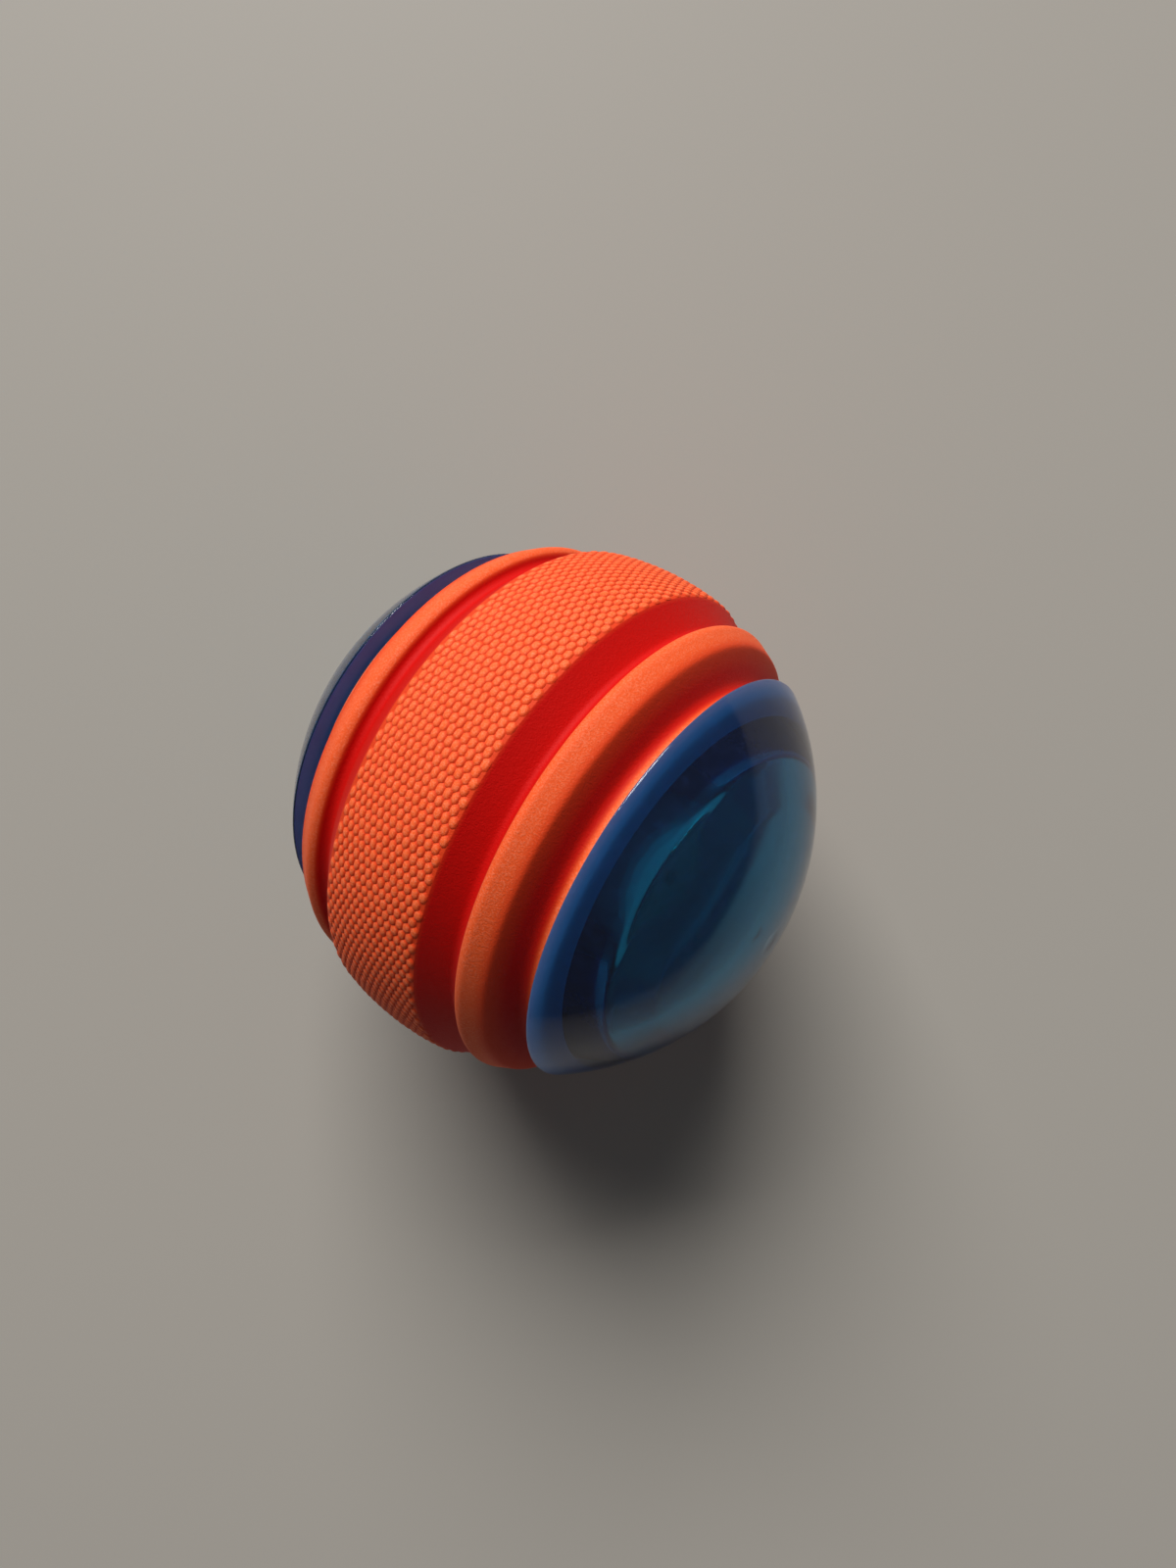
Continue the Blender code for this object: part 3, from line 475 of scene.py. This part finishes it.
def make_rubber():
    """The rubber ring's skin, with its belt cut down to the foot of the bumps."""
    belt = belt_arc(BALL_RADIUS - BUMP_HEIGHT - BUMP_SINK)
    far_side = [(radius, -z, fillet) for radius, z, fillet in reversed(BODY_SIDE)]
    bore = [
        (BORE_RADIUS, -NECK_END_Z, MOUTH_FILLET),
        (BORE_RADIUS, WAIST_LOW_Z, 0.0),
        (WAIST_RADIUS, WAIST_LOW_Z, 0.0),
        (WAIST_RADIUS, WAIST_HIGH_Z, 0.0),
        (BORE_RADIUS, WAIST_HIGH_Z, 0.0),
        (BORE_RADIUS, NECK_END_Z, MOUTH_FILLET),
    ]
    corners = BODY_SIDE + belt + far_side + bore
    mesh = turned_skin("rubber_skin", corners, SKIN_STEPS, True, painted_shade_and_sheen)
    add_piece("rubber_skin", mesh, RUBBER, "root", "rubber_body")


def pad_mesh():
    """One belt bump: a rounded pillow of unit length, width and height, open underneath."""
    verts = []
    pad_paleness = []
    for reach, height, ring_paleness in BUMP_LEVELS:
        for k in range(BUMP_CORNERS):
            angle = 2 * math.pi * (k + 0.5) / BUMP_CORNERS
            c, s = math.cos(angle), math.sin(angle)
            swell = (abs(c) ** BUMP_SQUARENESS + abs(s) ** BUMP_SQUARENESS) ** (-1 / BUMP_SQUARENESS)
            verts.append((0.5 * reach * swell * c, 0.5 * reach * swell * s, height))
            pad_paleness.append(ring_paleness)
    verts.append((0.0, 0.0, 1.0))
    pad_paleness.append(1.0)
    faces = []
    for ring in range(len(BUMP_LEVELS)):
        for k in range(BUMP_CORNERS):
            low = ring * BUMP_CORNERS + k
            ahead = ring * BUMP_CORNERS + (k + 1) % BUMP_CORNERS
            if ring == len(BUMP_LEVELS) - 1:
                faces.append((low, ahead, len(verts) - 1))
            else:
                faces.append((low, ahead, ahead + BUMP_CORNERS, low + BUMP_CORNERS))
    mesh = bpy.data.meshes.new("belt_pad")
    mesh.from_pydata(verts, [], faces)
    # each pad is painted in shade at its foot and grows paler towards its top
    mesh.attributes.new("finish_and_painted_light", "FLOAT", "POINT").data.foreach_set("value", pad_paleness)
    mesh.shade_smooth()
    return mesh


def bump_tree():
    """Geometry nodes that set pads on a sphere's belt in lines, every other line staggered."""
    tree = bpy.data.node_groups.new("belt_bumps", "GeometryNodeTree")
    wanted = {
        "Pad": "NodeSocketObject",
        "Sphere Radius": "NodeSocketFloat",
        "Lines Round": "NodeSocketInt",
        "Bumps Across": "NodeSocketInt",
        "Pitch Across": "NodeSocketFloat",
        "Pad Size": "NodeSocketVector",
        "Lean": "NodeSocketFloat",
        "Unevenness": "NodeSocketFloat",
        "Seed": "NodeSocketInt",
        "Material": "NodeSocketMaterial",
    }
    sockets = {}
    for name, kind in wanted.items():
        made = tree.interface.new_socket(name=name, in_out="INPUT", socket_type=kind)
        sockets[name] = made.identifier
    tree.interface.new_socket(name="Geometry", in_out="OUTPUT", socket_type="NodeSocketGeometry")
    given = tree.nodes.new("NodeGroupInput").outputs
    add = partial(add_node, tree)

    stray = {}
    for salt, (name, (least, most)) in enumerate(STRAYING.items(), start=1):
        seed = add(MATHS, [given["Seed"], salt], operation="ADD")
        inputs = {LEAST: least, MOST: most, CHANCE_SEED: seed}
        chance = add("FunctionNodeRandomValue", inputs, data_type="FLOAT").outputs[CHANCE]
        stray[name] = add(MATHS, [chance, given["Unevenness"]], operation="MULTIPLY")

    # a grid's points are counted line by line, each line across the belt
    grid = add("GeometryNodeMeshGrid", {
        "Vertices X": given["Lines Round"],
        "Vertices Y": given["Bumps Across"],
    })
    index = add("GeometryNodeInputIndex")
    line = add(MATHS, [index, 0.5], operation="ADD")
    line = add(MATHS, [line, given["Bumps Across"]], operation="DIVIDE")
    line = add(MATHS, [line], operation="FLOOR")
    row = add(MATHS, [index, given["Bumps Across"]], operation="MODULO")
    odd = add(MATHS, [line, 2.0], operation="MODULO")
    stagger = add(MATHS, [odd, 0.5, -0.25], operation="MULTIPLY_ADD")
    middle = add(MATHS, [given["Bumps Across"], 0.5, -0.5], operation="MULTIPLY_ADD")
    row = add(MATHS, [row, middle], operation="SUBTRACT")
    row = add(MATHS, [row, stagger], operation="ADD")
    row = add(MATHS, [row, stray["row"]], operation="ADD")
    line = add(MATHS, [line, stray["line"]], operation="ADD")

    # each point's place on the sphere, and the way out from it
    height = add(MATHS, [row, given["Pitch Across"]], operation="MULTIPLY")
    upward = add(MATHS, [height, given["Sphere Radius"]], operation="DIVIDE")
    latitude = add(MATHS, [upward], operation="ARCSINE")
    level = add(MATHS, [latitude], operation="COSINE")
    turn = add(MATHS, [line, given["Lines Round"]], operation="DIVIDE")
    angle = add(MATHS, [turn, 2 * math.pi], operation="MULTIPLY")
    cosine = add(MATHS, [angle], operation="COSINE")
    sine = add(MATHS, [angle], operation="SINE")
    outward = add("ShaderNodeCombineXYZ", [
        add(MATHS, [level, cosine], operation="MULTIPLY"),
        add(MATHS, [level, sine], operation="MULTIPLY"),
        upward,
    ])
    inputs = {0: outward, "Scale": given["Sphere Radius"]}
    place = add("ShaderNodeVectorMath", inputs, operation="SCALE")
    points = add("GeometryNodeSetPosition", {"Geometry": grid, "Position": place})

    # each pad faces outwards, its length round the belt
    around = add("ShaderNodeVectorMath", [(0.0, 0.0, 1.0), outward], operation="CROSS_PRODUCT")
    axes = {"primary_axis": "Z", "secondary_axis": "X"}
    facing = add("FunctionNodeAxesToRotation", [outward, around], **axes)
    tip = add(MATHS, [stray["tip"], given["Lean"]], operation="ADD")
    lean = add("ShaderNodeCombineXYZ", [tip, stray["roll"], stray["twist"]])
    lean = add("FunctionNodeEulerToRotation", [lean])
    facing = add("FunctionNodeRotateRotation", [facing, lean], rotation_space="LOCAL")
    spread = add("ShaderNodeCombineXYZ", [
        add(MATHS, [1.0, stray["length"]], operation="ADD"),
        add(MATHS, [1.0, stray["width"]], operation="ADD"),
        add(MATHS, [1.0, stray["height lost"]], operation="SUBTRACT"),
    ])
    size = add("ShaderNodeVectorMath", [given["Pad Size"], spread], operation="MULTIPLY")
    placed = add("GeometryNodeInstanceOnPoints", {
        "Points": points,
        "Instance": add("GeometryNodeObjectInfo", {"Object": given["Pad"]}).outputs["Geometry"],
        "Rotation": facing,
        "Scale": size,
    })
    real = add("GeometryNodeRealizeInstances", [placed])
    dressed = add("GeometryNodeSetMaterial", {"Geometry": real, "Material": given["Material"]})
    add("NodeGroupOutput", {"Geometry": dressed})
    return tree, sockets


def make_belt_bumps():
    """The belt's woven-looking bumps, grown by geometry nodes and kept as a plain mesh."""
    pad = bpy.data.objects.new("belt_pad", pad_mesh())
    bed = bpy.data.objects.new("belt_bed", bpy.data.meshes.new("belt_bed"))
    for made in (pad, bed):
        bpy.context.scene.collection.objects.link(made)
    tree, sockets = bump_tree()
    grower = bed.modifiers.new("belt_bumps", "NODES")
    grower.node_group = tree
    values = {
        "Pad": pad,
        "Sphere Radius": BALL_RADIUS - BUMP_HEIGHT - BUMP_SINK,
        "Lines Round": BUMP_LINES,
        "Bumps Across": BUMPS_ACROSS,
        "Pitch Across": BUMP_PITCH,
        "Pad Size": (BUMP_LENGTH, BUMP_WIDTH, BUMP_HEIGHT),
        "Lean": BUMP_LEAN,
        "Unevenness": BUMP_UNEVENNESS,
        "Seed": BUMP_SEED,
        "Material": RUBBER,
    }
    for name, value in values.items():
        grower[sockets[name]] = value
    bpy.context.view_layer.update()
    graph = bpy.context.evaluated_depsgraph_get()
    mesh = bpy.data.meshes.new_from_object(bed.evaluated_get(graph))
    mesh.name = "belt_bumps"
    bpy.data.objects.remove(bed)
    bpy.data.objects.remove(pad)
    mesh.transform(LEANED)
    add_piece("belt_bumps", mesh, RUBBER, "root")


def dome_arc(start_radius, end_radius, steps, inset=0.0):
    """Corners along the dome's skin, or along a skin set in from it."""
    reach = CAP_RADIUS - inset
    first = math.asin(start_radius / reach)
    last = math.asin(end_radius / reach)
    angles = [first + (last - first) * i / steps for i in range(steps + 1)]
    return [(reach * math.sin(a), CAP_CENTRE_Z + reach * math.cos(a), 0.0) for a in angles]


def dome_edge():
    """From the dome's rim in under its face, down the spigot and up into the cavity."""
    roof = CAP_CENTRE_Z + math.sqrt((CAP_RADIUS - DOME_WALL) ** 2 - CAVITY_RADIUS**2)
    return [
        (RIM_RADIUS, RIM_Z, RIM_FILLET),
        (RIM_RADIUS, FACE_Z, FACE_FILLET),
        (SPIGOT_RADIUS, FACE_Z, 0.0),
        (SPIGOT_RADIUS, SPIGOT_END_Z + SPIGOT_LEAD_IN, SPIGOT_FILLET),
        (SPIGOT_RADIUS - SPIGOT_LEAD_IN, SPIGOT_END_Z, SPIGOT_FILLET),
        (CAVITY_RADIUS, SPIGOT_END_Z, SPIGOT_FILLET),
        (CAVITY_RADIUS, roof, CAVITY_FILLET),
    ]


def make_near_dome():
    """The dome that pulls off: a thick cap over a round cavity, with a gate mark at its pole."""
    gate_z = POLE_Z - GATE_DEPTH
    gate = [(0.0, gate_z, 0.0), (GATE_FLAT_RADIUS, gate_z, GATE_FILLET)]
    skin = dome_arc(GATE_RADIUS, RIM_RADIUS, steps=64)[:-1]
    roof = dome_arc(CAVITY_ROOF_RADIUS, 0.0, steps=24, inset=DOME_WALL)
    corners = gate + skin + dome_edge() + roof
    mesh = turned_skin("near_dome_skin", corners, DOME_STEPS, False, how_frosted)
    add_piece("near_dome_skin", mesh, BLUE, "pull_off_dome", "near_dome")


def make_far_dome():
    """The dome that stays: the same cap the other way up, with the button's hole at its pole."""
    skin = dome_arc(BUTTON_HOLE, RIM_RADIUS, steps=56)[:-1]
    roof = dome_arc(CAVITY_ROOF_RADIUS, BUTTON_HOLE, steps=16, inset=DOME_WALL)
    corners = skin + dome_edge() + roof
    place = LEANED @ TURNED_OVER
    mesh = turned_skin("far_dome_skin", corners, DOME_STEPS, True, how_frosted, place)
    add_piece("far_dome_skin", mesh, BLUE, "root", "far_dome")


def dress_frame():
    """Better finishes on the frame's own pieces."""
    finishes = {
        # soft silicone has a dull skin
        "button_rubber": opaque("blue_button_rubber", "1E3F78", 0.55),
        # light spreads in the capsule's wall, so that the lamps' glow fills the ball
        "clear_plastic": pale_plastic("milky_capsule_plastic", "E6EAEC", 0.1),
        # moulded ABS has a half-matt skin
        "black_plastic": opaque("black_plastic", "15161A", 0.45),
        # nitrile rings are dull and near black
        "seal_rubber": opaque("black_seal_rubber", "1B1B1D", 0.6),
        # solder mask shines a little over the glass fibre
        "circuit_board": opaque("green_circuit_board", "0B4A2A", 0.35),
        # a ceramic capacitor is fired and dull
        "ceramic": opaque("tan_ceramic", "A0784A", 0.5),
        # nickel plating gives screws, cells, contacts and spring a warm, slightly soft gloss
        "steel": opaque("nickel_plated_steel", "C8C4BC", 0.3, metallic=1.0),
    }
    # lamps are cast in clear epoxy
    lamps = pale_plastic("clear_lamp_resin", "E8EEF2", 0.85)
    slots = {part["node"]: part["material_slot"] for part in frame["record"]["subparts"]}
    for name, node in frame["nodes"].items():
        material = lamps if name.startswith("led_") else finishes.get(slots[name])
        if material:
            node.data.materials.clear()
            node.data.materials.append(material)
            node.data.shade_smooth()
            node.data.set_sharp_from_angle(angle=FRAME_CREASE)


def make_spring():
    """The button's spring as the frame has it, as a piece of its own."""
    source = frame["nodes"]["button_spring"]
    steel = source.data.materials[0]
    mesh = source.data.copy()
    mesh.name = "button_spring_skin"
    spring = add_piece("button_spring_skin", mesh, steel, "root", "button_spring")
    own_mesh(spring)


def make_floor():
    """A plain pale floor under the ball."""
    bpy.ops.mesh.primitive_plane_add(size=FLOOR_WIDTH, location=(0.0, 0.0, CAD_BOX[0].z))
    floor = bpy.context.active_object
    floor.name = "studio_floor"
    made, add = new_material("pale_floor")
    inputs = {"Base Color": linear("A5A19B"), "Roughness": 0.6, "Specular IOR Level": 0.2}
    add("ShaderNodeOutputMaterial", {"Surface": add("ShaderNodeBsdfPrincipled", inputs)})
    floor.data.materials.append(made)


def make_light():
    """A dim sky before a pale backdrop, and one soft window."""
    world = bpy.data.worlds.new("studio")
    world.use_nodes = True
    world.node_tree.nodes.clear()
    bpy.context.scene.world = world
    add = partial(add_node, world.node_tree)
    ray = add("ShaderNodeLightPath").outputs
    inputs = [ray["Is Camera Ray"], ray["Is Transmission Ray"]]
    seen = add(MATHS, inputs, operation="MAXIMUM")
    sky = add("ShaderNodeBackground", {"Color": linear("EEF3FA"), "Strength": SKY_STRENGTH})
    backdrop = add("ShaderNodeBackground", {"Color": linear("CFCBC5"), "Strength": 1.0})
    shown = add("ShaderNodeMixShader", [seen, sky, backdrop])
    add("ShaderNodeOutputWorld", {"Surface": shown})

    light = bpy.data.lights.new("window", "AREA")
    light.shape = "RECTANGLE"
    light.size = WINDOW_WIDTH
    light.size_y = WINDOW_HEIGHT
    light.energy = WINDOW_POWER
    light.color = linear("FFFCF7")[:3]
    lamp = bpy.data.objects.new("window", light)
    side = AXIS_FALL + WINDOW_TURN
    level = math.cos(WINDOW_ELEVATION)
    towards = Vector((math.cos(side) * level, math.sin(side) * level, math.sin(WINDOW_ELEVATION)))
    lamp.location = towards * WINDOW_DISTANCE
    lamp.rotation_mode = "QUATERNION"
    lamp.rotation_quaternion = (-towards).to_track_quat("-Z", "Y")
    bpy.context.scene.collection.objects.link(lamp)


def make_camera():
    """The photo's viewpoint: almost straight down, with the ball's axis falling to the right."""
    seen_axis = Vector((
        math.cos(AXIS_FALL) * math.cos(AXIS_TILT),
        -math.sin(AXIS_FALL) * math.cos(AXIS_TILT),
        math.sin(AXIS_TILT),
    ))
    back = Vector((0.0, 0.0, 1.0))
    seen_up = (back - seen_axis * back.dot(seen_axis)).normalized()
    seen = Matrix((seen_axis, seen_up, seen_axis.cross(seen_up)))
    axis = Vector((math.cos(LEAN), 0.0, math.sin(LEAN)))
    up = Vector((-math.sin(LEAN), 0.0, math.cos(LEAN)))
    real = Matrix((axis, up, axis.cross(up))).transposed()
    turn = real @ seen
    ray = Vector((
        (BALL_AT[0] - PHOTO_SIZE[0] / 2) / FOCAL_PIXELS,
        (PHOTO_SIZE[1] / 2 - BALL_AT[1]) / FOCAL_PIXELS,
        -1.0,
    )).normalized()
    lens = bpy.data.cameras.new("photo_camera")
    lens.sensor_width = SENSOR
    lens.lens = SENSOR * FOCAL_PIXELS / max(PHOTO_SIZE)
    lens.clip_start = 0.01
    lens.clip_end = 50.0
    camera = bpy.data.objects.new("photo_camera", lens)
    camera.matrix_world = Matrix.Translation(turn @ ray * -CAMERA_DISTANCE * MM) @ turn.to_4x4()
    bpy.context.scene.collection.objects.link(camera)
    bpy.context.scene.camera = camera


RUBBER = foam_rubber()
BLUE = blue_plastic()

make_rubber()
make_belt_bumps()
make_near_dome()
make_far_dome()
dress_frame()
make_spring()
make_floor()
make_light()
make_camera()
bpy.context.scene.view_settings.view_transform = "Standard"
